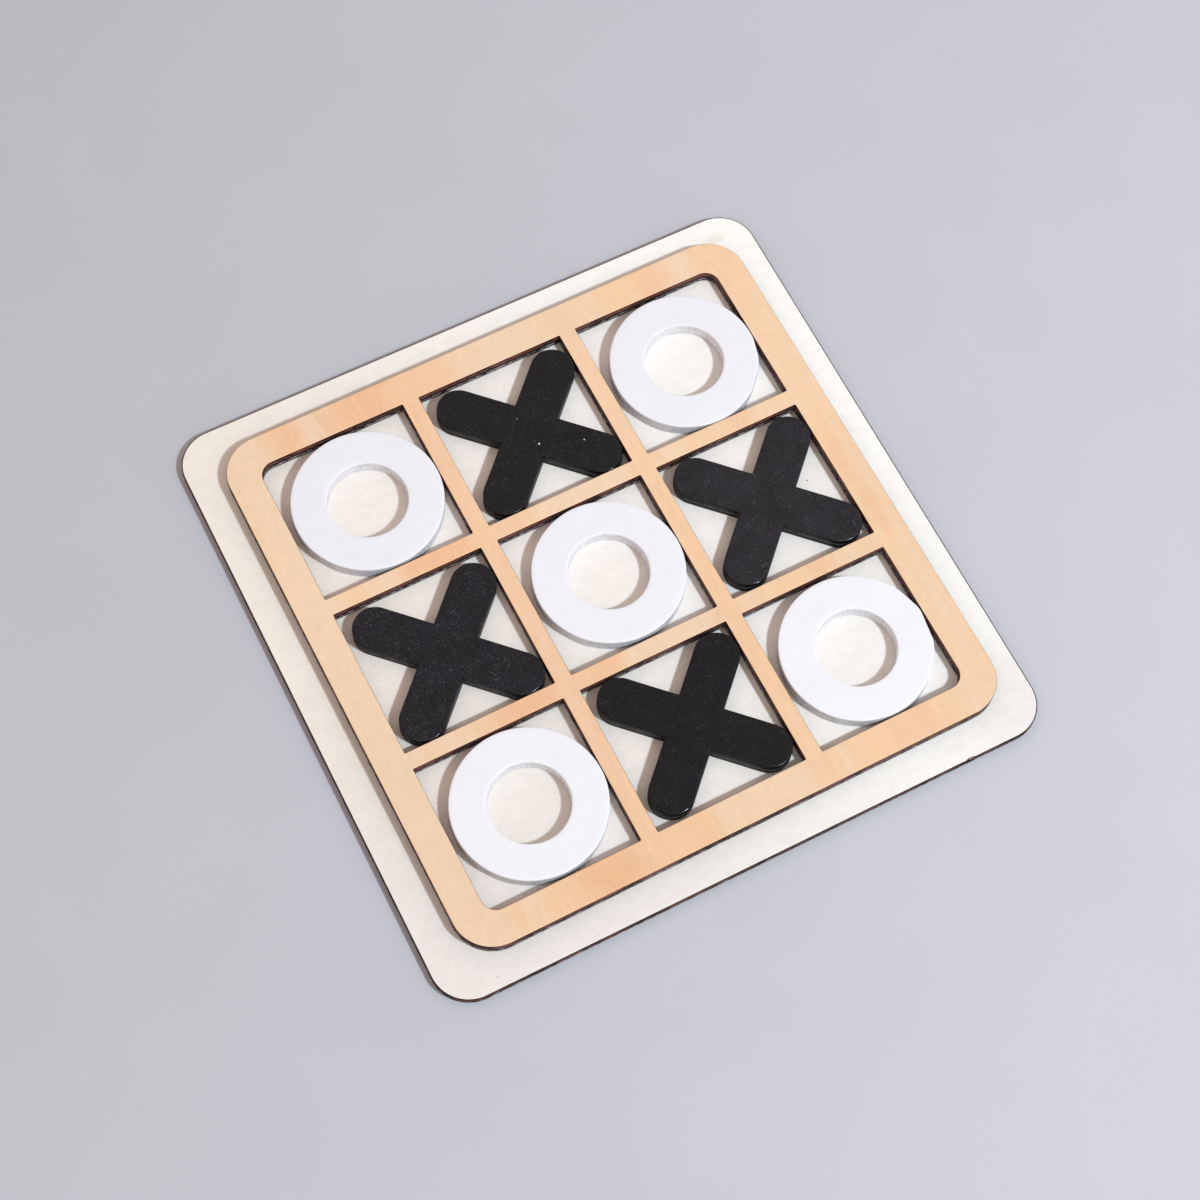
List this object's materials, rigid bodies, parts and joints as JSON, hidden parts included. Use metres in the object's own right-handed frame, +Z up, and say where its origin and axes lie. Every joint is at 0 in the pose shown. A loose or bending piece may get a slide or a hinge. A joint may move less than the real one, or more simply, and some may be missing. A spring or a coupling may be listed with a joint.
{
  "type": "tic tac toe set",
  "caption": "Flat wooden game board with a glued-on square grid frame and loose ring and cross pieces that lie in its cells and lift out.",
  "frame": {"origin": "middle of the board's underside, on the surface that it lies on", "axes": "+Z up out of the board's face, +X to the right and +Y away from a player who sits at the board's lower edge"},
  "size_m": [0.15, 0.15, 0.006],
  "materials": {
    "board_plywood": "pale sanded birch plywood, laser-cut brown edges",
    "frame_plywood": "warm sanded plywood, laser-cut dark edges",
    "white_paint": "wood painted matt white",
    "black_paint": "wood painted satin black"
  },
  "bodies": {
    "board": {"base_board": "board_plywood", "grid_frame": "frame_plywood"},
    "ring_top_left": {"ring_top_left": "white_paint"},
    "cross_top_center": {"cross_top_center": "black_paint"},
    "ring_top_right": {"ring_top_right": "white_paint"},
    "cross_middle_left": {"cross_middle_left": "black_paint"},
    "ring_center": {"ring_center": "white_paint"},
    "cross_middle_right": {"cross_middle_right": "black_paint"},
    "ring_bottom_left": {"ring_bottom_left": "white_paint"},
    "cross_bottom_center": {"cross_bottom_center": "black_paint"},
    "ring_bottom_right": {"ring_bottom_right": "white_paint"}
  },
  "joints": [
    {"name": "ring_top_left_lift", "type": "slide", "parent": "board", "child": "ring_top_left", "axis": [0, 0, 1], "range_m": [0, 0.04]},
    {"name": "cross_top_center_lift", "type": "slide", "parent": "board", "child": "cross_top_center", "axis": [0, 0, 1], "range_m": [0, 0.04]},
    {"name": "ring_top_right_lift", "type": "slide", "parent": "board", "child": "ring_top_right", "axis": [0, 0, 1], "range_m": [0, 0.04]},
    {"name": "cross_middle_left_lift", "type": "slide", "parent": "board", "child": "cross_middle_left", "axis": [0, 0, 1], "range_m": [0, 0.04]},
    {"name": "ring_center_lift", "type": "slide", "parent": "board", "child": "ring_center", "axis": [0, 0, 1], "range_m": [0, 0.04]},
    {"name": "cross_middle_right_lift", "type": "slide", "parent": "board", "child": "cross_middle_right", "axis": [0, 0, 1], "range_m": [0, 0.04]},
    {"name": "ring_bottom_left_lift", "type": "slide", "parent": "board", "child": "ring_bottom_left", "axis": [0, 0, 1], "range_m": [0, 0.04]},
    {"name": "cross_bottom_center_lift", "type": "slide", "parent": "board", "child": "cross_bottom_center", "axis": [0, 0, 1], "range_m": [0, 0.04]},
    {"name": "ring_bottom_right_lift", "type": "slide", "parent": "board", "child": "ring_bottom_right", "axis": [0, 0, 1], "range_m": [0, 0.04]}
  ]
}
